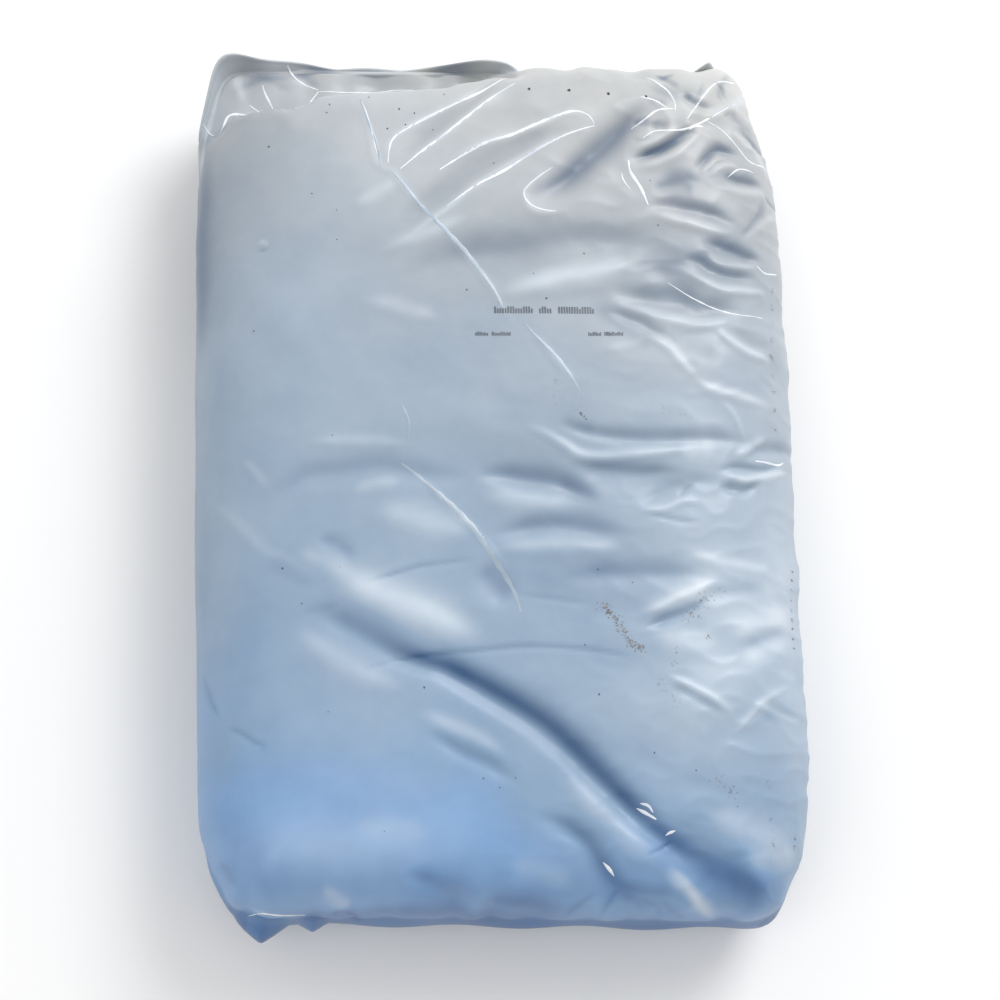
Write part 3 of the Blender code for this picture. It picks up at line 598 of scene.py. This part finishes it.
def fold_weight(x, y, path, half_width, profile):
    points = smooth_path(path)
    margin = 3.2 * half_width
    low = points.min(axis=0) - margin
    high = points.max(axis=0) + margin
    near = np.nonzero((x > low[0]) & (x < high[0]) & (y > low[1]) & (y < high[1]))[0]
    weight = np.zeros_like(x)
    px, py = x[near], y[near]
    nearest = np.full_like(px, 1e9)
    place = np.zeros_like(px)
    side = np.zeros_like(px)
    lengths = np.hypot(*(points[1:] - points[:-1]).T)
    start = 0.0
    for first, second, length in zip(points[:-1], points[1:], lengths):
        run = (second - first) / length
        along = np.clip((px - first[0]) * run[0] + (py - first[1]) * run[1], 0.0, length)
        away = np.hypot(px - first[0] - along * run[0], py - first[1] - along * run[1])
        closer = away < nearest
        nearest = np.where(closer, away, nearest)
        place = np.where(closer, start + along, place)
        side = np.where(closer, (px - first[0]) * run[1] - (py - first[1]) * run[0], side)
        start += length
    place = place / start
    fade = smooth_step(0.0, 0.30, place) * smooth_step(0.0, 0.30, 1.0 - place)
    share = nearest / (half_width * (0.35 + 0.65 * np.sin(math.pi * place) ** 0.8))
    if profile in SIDE_FADES:
        share = share * np.where(side > 0.0, *SIDE_FADES[profile])
    if profile == "sharp":
        shape = np.exp(-1.5 * (np.sqrt(share ** 2 + 0.06) - math.sqrt(0.06)))
        shape = shape * (1.0 - smooth_step(1.6, 3.2, share))
    else:
        shape = np.exp(-share ** 2)
    weight[near] = shape * fade
    return weight


NOISE_TABLE = np.random.default_rng(11).uniform(0.0, 2.0 * math.pi, (64, 64))


def noise(x, y):
    """Smooth noise from about -1 to 1, with one swing a unit."""
    cell_x = np.floor(x).astype(int)
    cell_y = np.floor(y).astype(int)
    fx, fy = x - cell_x, y - cell_y
    ux = fx ** 3 * (fx * (fx * 6 - 15) + 10)
    uy = fy ** 3 * (fy * (fy * 6 - 15) + 10)
    corner = []
    for dy in (0, 1):
        for dx in (0, 1):
            angle = NOISE_TABLE[(cell_y + dy) % 64, (cell_x + dx) % 64]
            corner.append(np.cos(angle) * (fx - dx) + np.sin(angle) * (fy - dy))
    lower = corner[0] + (corner[1] - corner[0]) * ux
    upper = corner[2] + (corner[3] - corner[2]) * ux
    return 1.4 * (lower + (upper - lower) * uy)


def swell(value, centre, reach):
    return np.exp(-((value - centre) / reach) ** 2)


def peak(distance, reach):
    return np.maximum(1.0 - np.abs(distance) / reach, 0.0)


def hill(x, y, centre, reach):
    """A round rise. Its centre is in hundredths and its reach in millimetres."""
    across = swell(x, centre[0] * HALF_X / 100.0, reach[0] / 1000.0)
    return across * swell(y, centre[1] * HALF_Y / 100.0, reach[1] / 1000.0)


def warped(x, y, size, pitch, start_x, start_y):
    """Places moved about at random, so that what is drawn there is uneven."""
    moved_x = x + size * noise(x * pitch + start_x, y * pitch)
    moved_y = y + size * noise(x * pitch, y * pitch + start_y)
    return moved_x, moved_y


def face_relief(x, y):
    """Height added to the smooth form, and the painted light and shade of the film there."""
    relief = np.zeros_like(x)
    shade = np.zeros_like(x)
    for profile, folds in (("soft", SOFT_FOLDS_AND_PAINTED_SHADING), ("sharp", SHARP_FOLDS_AND_PAINTED_SHADING), ("step", STEP_FOLDS_AND_PAINTED_SHADING)):
        for height, painted_shading, half_width, *path in folds:
            reach = half_width / 1000.0
            look = "dark" if painted_shading < 0 else profile
            shade += painted_shading / 100.0 * fold_weight(x, y, path, reach, look)
            if height:
                moved_x = x + FOLD_SHIFT[0] * reach
                moved_y = y + FOLD_SHIFT[1] * reach
                relief += height / 1000.0 * fold_weight(moved_x, moved_y, path, reach, profile)
    for height, centre, reach in HEAPS:
        relief += height / 1000.0 * hill(x, y, centre, reach)
    for painted_shading, centre, reach in PAINTED_SHADING_PATCHES:
        shade += painted_shading / 100.0 * hill(x, y, centre, reach)
    warp_x, warp_y = warped(x, y, 0.012, 14.0, 3.1, 7.7)
    relief += BROAD_WAVES * noise(warp_x * 9.0, warp_y * 12.0 + 2.0)
    cross_size = CROSS_WAVES[0] + CROSS_WAVES[1] * smooth_step(-0.3, 0.8, x / HALF_X)
    relief += cross_size * noise(warp_x * 17.0 + warp_y * 6.0, warp_y * 34.0 + 8.0)
    return relief, relief / PAINTED_SHADING_HEIGHT + shade


def fine_relief(x, y):
    """Small creases of the film, strongest near the right side and its corners."""
    warp_x, warp_y = warped(x, y, 0.004, 40.0, 1.7, 9.2)
    busy = 0.15 + 0.85 * smooth_step(0.0, 1.0, x / HALF_X + 0.5 * np.abs(y / HALF_Y) - 0.2)
    creases = (1.0 - np.abs(noise(warp_x * 34.0, warp_y * 62.0))) ** 3
    return FINE_CREASES * busy * (creases - 0.35)


def rim_gathers(x, y, level):
    end_share = smooth_step(0.35, 0.9, np.abs(outward(x, y)[1]))
    edge_share = 1.0 - smooth_step(0.006, 0.042, inset(x, y))
    floor_share = smooth_step(0.0, 0.030, level)
    corner_share = smooth_step(0.60, 0.95, np.abs(y) / HALF_Y)
    right_share = smooth_step(-0.05, 0.15, x)
    end_wave = np.sin(172.0 * x + 0.6 + 1.8 * np.sin(31.0 * x)) + 0.5 * np.sin(281.0 * x + 1.9)
    swing = 2.4 * np.sin(17.0 * y + 0.5) + 30.0 * level
    side_wave = np.sin(71.0 * y + swing) + 0.6 * np.sin(137.0 * y - 1.7 * swing)
    side_size = SIDE_GATHERS + RIGHT_GATHERS * right_share + CORNER_GATHERS * corner_share
    waves = END_GATHERS * end_share * end_wave + side_size * (1.0 - end_share) * side_wave
    corner = np.hypot(x - FULL_CORNER[0], y - FULL_CORNER[1])
    waves = waves + FULL_CORNER[3] * swell(corner, 0.0, FULL_CORNER[2])
    waves = waves - SLIM_SIDE * smooth_step(-0.02, -0.22, y) * (x < 0.0) * (1.0 - end_share)
    return waves * edge_share * floor_share


# Numbers of the points of the face, row by row from the foot
GRID = np.arange((ROWS + 1) * (COLUMNS + 1)).reshape(ROWS + 1, COLUMNS + 1)


def face_grid():
    grid_x, grid_y = np.meshgrid(np.linspace(-1.0, 1.0, COLUMNS + 1), np.linspace(-1.0, 1.0, ROWS + 1))
    ring = np.maximum(np.abs(grid_x), np.abs(grid_y))
    safe = np.where(ring < 1e-9, 1.0, ring)
    ray_x = grid_x / safe * HALF_X
    ray_y = grid_y / safe * HALF_Y
    size = np.maximum(np.hypot(ray_x, ray_y), 1e-9)
    rim_x, rim_y = rim_point(ray_x / size, ray_y / size, GRID_INSET)
    ring = 1.0 - (1.0 - ring) ** 1.12
    return (rim_x * ring).ravel(), (rim_y * ring).ravel()


def border_indices():
    return np.concatenate((GRID[0, :-1], GRID[:-1, -1], GRID[-1, :0:-1], GRID[:0:-1, 0]))


def flank_point(rim, angle):
    turn = math.radians(abs(angle))
    across = math.cos(turn) ** (2.0 / ROUNDNESS)
    rise = math.sin(turn) ** (2.0 / ROUNDNESS)
    if angle >= 0.0:
        depth = rim["shoulder"] * (1.0 - across)
        level = WIDEST_LEVEL + (BODY_HEIGHT - WIDEST_LEVEL) * rise
    else:
        depth = np.full_like(rim["shoulder"], FLOOR_INSET * (1.0 - across))
        level = WIDEST_LEVEL * (1.0 - rise)
    x, y = rim_point(rim["ray_x"], rim["ray_y"], depth)
    return x, y, np.full_like(x, level)


def lip_share(x, y):
    """Where along the rim the film of the head stands up, from 0 to 1."""
    return smooth_step(*LIP_START, y) * (1.0 - smooth_step(*LIP_END, x))


def lip_stand(x, y):
    """How high the root of that film lies: full at the corner and at its wave."""
    corner = 1.0 - smooth_step(0.030, 0.085, np.hypot(x - EAR_CORNER[0], y - EAR_CORNER[1]))
    wave = swell(x, *LIP_WAVE[:2])
    return LIP_LOW_SHARE + (1.0 - LIP_LOW_SHARE) * np.maximum(corner, wave)


def seal_shape(rim):
    """Lean outwards, rise and strength of the sealed strip along the rim."""
    x, y = rim["x"], rim["y"]
    lip = lip_share(x, y)
    strength = np.maximum(smooth_step(0.30, 0.97, np.abs(rim["out_y"])), lip)
    rise = -SEAL_DROP + DROP_SWAY * np.sin(58.0 * x + 0.4)
    lean = SEAL_LEAN + LEAN_SWAY * np.sin(74.0 * x + 0.8)
    for centre, size, reach in FOOT_TIPS:
        tip = peak(x - centre * HALF_X, reach) * (y < 0.0)
        lean = lean + size * tip
        rise = rise + TIP_LIFT * tip
    head_tip = peak(x - HEAD_TIP[0], HEAD_TIP[1]) * (y > 0.0)
    rise = rise + HEAD_TIP[2] * head_tip ** 0.7
    corner = peak(np.hypot(x - EAR_CORNER[0], y - EAR_CORNER[1]), EAR_REACH)
    height = LIP_HEIGHT * lip_stand(x, y) + EAR_POINT * corner ** 1.7 + LIP_RIPPLE * np.sin(130.0 * x)
    height = height + LIP_WAVE[2] * swell(x, *LIP_WAVE[:2])
    lean = lean + (LIP_LEAN + EAR_LEAN * corner ** 3 - lean) * lip
    rise = rise + (height - rise) * lip
    return lean, rise, strength, lip


def seal_rings(rim):
    """Rings around the strip, from its upper root over its edge to its lower root."""
    lean, rise, _, lip = seal_shape(rim)
    half = SEAL_THICKNESS / 2.0
    root = WIDEST_LEVEL + 0.002 + LIP_RISE * lip * lip_stand(rim["x"], rim["y"])
    upper, lower = [], []
    for share in SEAL_SHARES:
        reach = lean * share * (2.0 - share)
        level = root + rise * share
        run = lean * 2.0 * (1.0 - share) + 0.0005
        size = np.hypot(run, rise)
        for group, sign in ((upper, half), (lower, -half)):
            distance = reach - sign * rise / size
            group.append((rim["x"] + rim["out_x"] * distance, rim["y"] + rim["out_y"] * distance,
                          level + sign * run / size))
    return upper + lower[::-1]


def skirt_rings(border_x, border_y):
    size = np.hypot(border_x, border_y)
    rim = {"ray_x": border_x / size, "ray_y": border_y / size}
    rim["x"], rim["y"] = rim_point(rim["ray_x"], rim["ray_y"], 0.0)
    rim["out_x"], rim["out_y"] = outward(rim["x"], rim["y"])
    rim["shoulder"] = shoulder_width(rim["x"], rim["y"])
    strength = seal_shape(rim)[2]
    lip = lip_share(rim["x"], rim["y"])
    rings = []
    for angle, depth in zip(UPPER_ANGLES, POCKET_INSETS):
        plain = flank_point(rim, angle)
        x, y = rim_point(rim["ray_x"], rim["ray_y"], depth)
        pocket = (x, y, np.full_like(x, POCKET_LEVEL))
        rings.append((tuple(a + (b - a) * lip for a, b in zip(plain, pocket)), np.minimum(2.5 * lip, 1.0)))
    for angle, folded in zip(SEAL_ANGLES, seal_rings(rim)):
        plain = flank_point(rim, angle)
        rings.append((tuple(a + (b - a) * strength for a, b in zip(plain, folded)), strength))
    rings += [(flank_point(rim, angle), np.zeros_like(strength)) for angle in LOWER_ANGLES]
    return rings


def join_corners(corners):
    return np.stack(corners, axis=-1).reshape(-1, len(corners))


def face_corners(border, ring_count):
    """Corner indices of all faces: squares, and triangles for the underside."""
    count = len(border)
    added = GRID.size + np.arange(ring_count * count).reshape(ring_count, count)
    rings = np.vstack((border, added))
    turned = np.roll(rings, -1, axis=1)
    squares = join_corners((GRID[:-1, :-1], GRID[:-1, 1:], GRID[1:, 1:], GRID[1:, :-1]))
    skirt = join_corners((rings[:-1], rings[1:], turned[1:], turned[:-1]))
    centre = np.full(count, GRID.size + ring_count * count)
    return np.concatenate((squares, skirt)), join_corners((centre, turned[-1], rings[-1]))


def point_normals(points, squares):
    first = points[squares[:, 2]] - points[squares[:, 0]]
    second = points[squares[:, 3]] - points[squares[:, 1]]
    cross = np.cross(first, second)
    normals = np.zeros_like(points)
    for corner in range(4):
        np.add.at(normals, squares[:, corner], cross)
    return normals / np.maximum(np.linalg.norm(normals, axis=1, keepdims=True), 1e-12)


def place_painted_shading(x, y, level, sealed, painted_shading):
    """The painted light and shade of the film, with the painted light and shade that the strips and the
    lower flanks add.
    """
    strip = np.full_like(x, HEAD_STRIP_PAINTED_LIGHT)
    for centre, reach, strength in STRIP_PAINTED_SHADES:
        strip += strength * swell(x, centre, reach)
    painted_shading = painted_shading + (strip - painted_shading) * sealed * (y > 0.0)
    low = 1.0 - smooth_step(0.030, 0.085, level)
    sides = LOW_FOOT_PAINTED_SHADE * (y < -0.25) + LOW_LEFT_PAINTED_SHADE * (x < -0.17) + LOW_RIGHT_PAINTED_SHADE * (x > 0.17)
    return painted_shading + low * sides + FOOT_STRIP_PAINTED_SHADE * sealed * (y < 0.0)


def sack_points():
    face_x, face_y = face_grid()
    border = border_indices()
    blocks = [np.stack((face_x, face_y, face_level(face_x, face_y)), axis=1)]
    sealed = [np.zeros_like(face_x)]
    rings = skirt_rings(face_x[border], face_y[border])
    for ring, strength in rings:
        blocks.append(np.stack(ring, axis=1))
        sealed.append(strength)
    blocks.append(np.zeros((1, 3)))
    sealed.append(np.ones(1))
    points = np.concatenate(blocks)
    sealed = np.concatenate(sealed)
    squares, triangles = face_corners(border, len(rings))
    x, y, level = points.T
    relief, painted_shading = face_relief(x, y)
    push = RELIEF_SHARE * relief * smooth_step(0.35 * WIDEST_LEVEL, 1.25 * WIDEST_LEVEL, level)
    push += rim_gathers(x, y, level)
    push += fine_relief(x, y) * smooth_step(0.0, 0.02, level)
    push *= (1.0 - sealed) ** 4
    painted_shading = place_painted_shading(x, y, level, sealed, painted_shading)
    points = points + point_normals(points, squares) * push[:, None]
    points = points + (BODY_SHIFT[0], BODY_SHIFT[1], 0.0)
    points[:, 2] = np.maximum(points[:, 2], 0.0)
    return points, squares, triangles, painted_shading


def fill(node, values):
    for name, value in values.items():
        node.inputs[name].default_value = value


class NodeKit:
    """Short ways to add to a node tree, which is cleared first."""

    def __init__(self, tree):
        tree.nodes.clear()
        self.add = tree.nodes.new
        self.link = tree.links.new

    def ramp(self, source, stops, interpolation="LINEAR"):
        ramp = self.add("ShaderNodeValToRGB")
        ramp.color_ramp.interpolation = interpolation
        while len(ramp.color_ramp.elements) < len(stops):
            ramp.color_ramp.elements.new(0.5)
        for element, (position, colour) in zip(ramp.color_ramp.elements, stops):
            element.position = position
            element.color = (*colour, 1.0)
        self.link(source, ramp.inputs["Fac"])
        return ramp.outputs["Color"]

    def mapped(self, source, low, high, to_low, to_high):
        node = self.add("ShaderNodeMapRange")
        fill(node, {"From Min": low, "From Max": high, "To Min": to_low, "To Max": to_high})
        self.link(source, node.inputs["Value"])
        return node.outputs["Result"]

    def blend(self, factor, first, second, kind="MIX"):
        node = self.add("ShaderNodeMix")
        node.data_type = "RGBA"
        node.blend_type = kind
        for name, value in (("Factor", factor), ("A", first), ("B", second)):
            if isinstance(value, tuple):
                value = (*value, 1.0)
            if isinstance(value, (tuple, float)):
                node.inputs[name].default_value = value
            else:
                self.link(value, node.inputs[name])
        return node.outputs["Result"]

    def noise(self, place, values):
        node = self.add("ShaderNodeTexNoise")
        fill(node, values)
        self.link(place, node.inputs["Vector"])
        return node.outputs["Fac"]

    def split(self, place):
        node = self.add("ShaderNodeSeparateXYZ")
        self.link(place, node.inputs["Vector"])
        return node.outputs


def new_material(name):
    material = bpy.data.materials.new(name)
    material.use_nodes = True
    kit = NodeKit(material.node_tree)
    out = kit.add("ShaderNodeOutputMaterial")
    shader = kit.add("ShaderNodeBsdfPrincipled")
    kit.link(shader.outputs["BSDF"], out.inputs["Surface"])
    return material, shader, kit


def film_material():
    """Film whose colour runs from foot to head with a painted sky reflection, and follows the painted
    light and shade stored on the skin.
    """
    material, shader, kit = new_material("sack_film_look")
    place = kit.add("ShaderNodeTexCoord").outputs["Object"]
    across, along, _ = kit.split(place)
    patches = kit.noise(place, {"Scale": 6.0, "Detail": 2.5, "Distortion": 0.6})
    add = kit.add("ShaderNodeMath")
    kit.link(kit.mapped(along, -0.30, 0.30, -0.08, 0.92), add.inputs[0])
    kit.link(kit.mapped(patches, 0.25, 0.75, -0.07, 0.07), add.inputs[1])
    slope = kit.add("ShaderNodeMath")
    slope.operation = "MULTIPLY_ADD"
    slope.inputs[1].default_value = 0.45
    kit.link(across, slope.inputs[0])
    kit.link(add.outputs["Value"], slope.inputs[2])
    # The film's own colour with the painted sky reflection, from foot to head
    base = kit.ramp(slope.outputs["Value"], FILM_AND_PAINTED_SKY_STOPS, "B_SPLINE")

    # Painted shade darkens the colour towards the painted shade colours, and painted light mixes it
    # towards the painted sheen colour
    painted_shading = kit.add("ShaderNodeAttribute")
    painted_shading.attribute_name = "painted_shading"
    dark = kit.mapped(painted_shading.outputs["Fac"], 0.0, -1.2, 0.0, 1.0)
    light = kit.mapped(painted_shading.outputs["Fac"], 0.0, 0.8, 0.0, 0.85)
    depth = kit.blend(slope.outputs["Value"], FOOT_PAINTED_SHADE_COLOUR, HEAD_PAINTED_SHADE_COLOUR)
    lighter = kit.blend(light, kit.blend(dark, base, depth, "MULTIPLY"), PAINTED_SHEEN_COLOUR)
    mottle = kit.noise(place, {"Scale": 28.0, "Detail": 5.0, "Roughness": 0.6})
    colour = kit.blend(1.0, lighter, kit.ramp(mottle, MOTTLE_STOPS), "MULTIPLY")
    kit.link(colour, shader.inputs["Base Color"])

    kit.link(kit.mapped(patches, 0.2, 0.8, 0.36, 0.48), shader.inputs["Roughness"])
    bump = kit.add("ShaderNodeBump")
    fill(bump, {"Strength": 0.15, "Distance": 0.0005})
    kit.link(kit.noise(place, {"Scale": 90.0, "Detail": 5.0}), bump.inputs["Height"])
    kit.link(bump.outputs["Normal"], shader.inputs["Normal"])
    fill(shader, {"IOR": 1.45, "Coat Weight": 0.12, "Coat Roughness": 0.18})
    return material


def patchy_material(name):
    first, second, roughness, fineness, start = LOOKS[name]
    material, shader, kit = new_material(name)
    patches = kit.noise(kit.add("ShaderNodeTexCoord").outputs["Object"], {"Scale": fineness})
    kit.link(kit.ramp(patches, ((start, first), (0.65, second))), shader.inputs["Base Color"])
    fill(shader, {"Roughness": roughness})
    return material


def new_object(name, points, faces, material):
    mesh = bpy.data.meshes.new(name)
    mesh.from_pydata(points, [], faces)
    mesh.materials.append(material)
    made = bpy.data.objects.new(name, mesh)
    bpy.context.scene.collection.objects.link(made)
    return made


def add_detail(name, points, faces, look):
    """A piece that lies on the film and goes where the sack goes."""
    detail = new_object(name, points, faces, patchy_material(look))
    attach(detail, "root")
    return detail


def lay(tree, places, lifts):
    """Points lifted off the sack's skin at these places, or none if one misses it."""
    laid = []
    for (x, y), lift in zip(places, lifts):
        point, normal, _, _ = tree.ray_cast(Vector((x, y, 0.4)), Vector((0.0, 0.0, -1.0)))
        if point is None:
            return []
        laid.append(point + normal * lift)
    return laid


def line_places(path):
    """Even steps along a path on the face, in metres."""
    line = smooth_path(path) + BODY_SHIFT
    lengths = np.concatenate(((0.0,), np.cumsum(np.hypot(*(line[1:] - line[:-1]).T))))
    steps = np.linspace(0.0, lengths[-1], max(int(lengths[-1] / LINE_STEP), 6))
    return np.interp(steps, lengths, line[:, 0]), np.interp(steps, lengths, line[:, 1])


def build_lines(name, rows, tree, look):
    """Thin raised lines that lie on the film along its creases."""
    points, faces = [], []
    for width, *path in rows:
        xs, ys = line_places(path)
        joined = False
        for index, (x, y) in enumerate(zip(xs, ys)):
            ahead = min(index + 1, len(xs) - 1)
            behind = max(index - 1, 0)
            run = Vector((xs[ahead] - xs[behind], ys[ahead] - ys[behind])).normalized()
            size = math.sin(math.pi * (0.04 + 0.92 * index / (len(xs) - 1))) ** 0.6
            size *= 0.85 + 0.15 * math.sin(index * 0.9 + x * 300.0)
            half = width / 2000.0 * size
            places = [(x - run.y * side, y + run.x * side) for side in (-half, 0.0, half)]
            row = lay(tree, places, (EDGE_LIFT, LINE_LIFT * size, EDGE_LIFT))
            a = len(points)
            if row and joined:
                faces += [(a - 3, a - 2, a + 1, a), (a - 2, a - 1, a + 2, a + 1)]
            points += row
            joined = bool(row)
    lines = add_detail(name, points, faces, look)
    lines.data.polygons.foreach_set("use_smooth", np.ones(len(faces), bool))


def build_marks(name, shapes, tree, look):
    """Thin flat shapes laid on the film. Each shape is a ring of places in metres."""
    points, faces = [], []
    for ring in shapes:
        laid = lay(tree, ring, [MARK_LIFT] * len(ring))
        if laid:
            faces.append(tuple(range(len(points), len(points) + len(laid))))
            points += laid
    add_detail(name, points, faces, look)


def face_place(hundredths):
    across, along = hundredths
    return across * HALF_X / 100.0 + BODY_SHIFT[0], along * HALF_Y / 100.0 + BODY_SHIFT[1]


def blot(x, y, size, chance, corners=6):
    """An uneven small ring around a place."""
    turn = chance.uniform(0.0, 2.0 * math.pi)
    stretch = chance.uniform(0.5, 1.0)
    ring = []
    for corner in range(corners):
        angle = 2.0 * math.pi * corner / corners
        reach = size / 2.0 * chance.uniform(0.75, 1.1)
        a, b = reach * math.cos(angle), reach * stretch * math.sin(angle)
        across = a * math.cos(turn) - b * math.sin(turn)
        along = a * math.sin(turn) + b * math.cos(turn)
        ring.append((x + across, y + along))
    return ring


def build_print(tree, chance):
    bars = []
    for place, length, height in PRINT_ROWS:
        start_x, middle_y = face_place(place)
        pitch = 0.38 * height
        for index in range(int(length / pitch)):
            left = start_x + index * pitch / 1000.0
            right = left + 0.24 * height / 1000.0
            low = middle_y - height / 2000.0
            high = low + height / 1000.0 * chance.choice((0.7, 1.0, 1.0))
            bars.append(((left, low), (right, low), (right, high), (left, high)))
    build_marks("film_print", bars, tree, "ink_look")


def build_specks(tree, chance):
    holes = [blot(*face_place(place), VENT_WIDTH, chance, 10) for place in VENT_HOLES]
    build_marks("film_vents", holes, tree, "vent_look")
    specks = [blot(*face_place(place), chance.uniform(0.0009, 0.0016), chance) for place in SPECKS]
    build_marks("film_specks", specks, tree, "speck_look")


def build_dirt(tree, chance):
    flakes = []
    for count, scatter, largest, *path in SMEARS:
        line = smooth_path(path) + BODY_SHIFT
        for _ in range(count):
            x, y = line[chance.integers(len(line))] + chance.normal(0.0, scatter / 2000.0, 2)
            flakes.append(blot(x, y, largest / 1000.0 * chance.uniform(0.3, 1.0), chance))
    build_marks("film_dirt", flakes, tree, "dirt_look")


def build_sack():
    points, squares, triangles, painted_shading = sack_points()
    faces = squares.tolist() + triangles.tolist()
    sack = new_object("film_sack", points.tolist(), faces, film_material())
    smooth = np.ones(len(faces), bool)
    smooth[len(squares):] = False
    sack.data.polygons.foreach_set("use_smooth", smooth)
    attribute = sack.data.attributes.new("painted_shading", "FLOAT", "POINT")
    attribute.data.foreach_set("value", painted_shading.astype(np.float32))
    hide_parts("filled_sack")
    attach(sack, "root")
    return sack


def build_floor():
    material, shader, _ = new_material("floor_white")
    fill(shader, {"Base Color": (0.93, 0.93, 0.93, 1.0), "Roughness": 0.9})
    corners = [(-4, -4, 0), (4, -4, 0), (4, 4, 0), (-4, 4, 0)]
    floor = new_object("floor", corners, [(0, 1, 2, 3)], material)
    floor.location.z = -0.0005


def area_light(name, place, size, power):
    data = bpy.data.lights.new(name, "AREA")
    data.size = size
    data.energy = power
    lamp = bpy.data.objects.new(name, data)
    lamp.location = place
    lamp.rotation_euler = (Vector(LAMP_TARGET) - Vector(place)).to_track_quat("-Z", "Y").to_euler()
    bpy.context.scene.collection.objects.link(lamp)


def build_light():
    """Two lamps, and a room that lights the sack but looks plain white."""
    area_light("key", *KEY_LAMP)
    area_light("fill", *FILL_LAMP)
    world = bpy.data.worlds.new("studio")
    bpy.context.scene.world = world
    world.use_nodes = True
    kit = NodeKit(world.node_tree)
    _, along, _ = kit.split(kit.add("ShaderNodeTexCoord").outputs["Generated"])
    sky = kit.add("ShaderNodeBackground")
    fill(sky, {"Strength": ROOM_STRENGTH})
    kit.link(kit.ramp(kit.mapped(along, -1.0, 1.0, 0.0, 1.0), ROOM_SHADES), sky.inputs["Color"])
    white = kit.add("ShaderNodeBackground")
    fill(white, {"Color": (1.0, 1.0, 1.0, 1.0)})
    mix = kit.add("ShaderNodeMixShader")
    kit.link(kit.add("ShaderNodeLightPath").outputs["Is Camera Ray"], mix.inputs["Fac"])
    kit.link(sky.outputs["Background"], mix.inputs[1])
    kit.link(white.outputs["Background"], mix.inputs[2])
    kit.link(mix.outputs["Shader"], kit.add("ShaderNodeOutputWorld").inputs["Surface"])


def build_camera():
    data = bpy.data.cameras.new("camera")
    data.lens = CAMERA_LENS
    data.sensor_width = 36.0
    data.clip_start = 0.05
    camera = bpy.data.objects.new("camera", data)
    camera.location = CAMERA_PLACE
    look = (Vector(CAMERA_TARGET) - Vector(CAMERA_PLACE)).normalized()
    right = look.cross(Vector((0.0, 1.0, 0.0))).normalized()
    up = right.cross(look)
    turn_right = right * math.cos(CAMERA_ROLL) + up * math.sin(CAMERA_ROLL)
    turn_up = up * math.cos(CAMERA_ROLL) - right * math.sin(CAMERA_ROLL)
    matrix = Matrix((turn_right, turn_up, -look)).transposed()
    camera.rotation_euler = matrix.to_euler()
    bpy.context.scene.collection.objects.link(camera)
    bpy.context.scene.camera = camera


bpy.context.scene.view_settings.view_transform = "Standard"
build_camera()
sack = build_sack()
corners = [vertex.co.copy() for vertex in sack.data.vertices]
skin = BVHTree.FromPolygons(corners, [tuple(face.vertices) for face in sack.data.polygons])
# Raised crease lines coloured near white as painted highlights
build_lines("film_crease_highlights", PAINTED_GLEAMS, skin, "crease_painted_highlight")
build_lines("film_scars", SCARS, skin, "scar_look")
build_print(skin, np.random.default_rng(3))
build_specks(skin, np.random.default_rng(5))
build_dirt(skin, np.random.default_rng(7))
build_floor()
build_light()
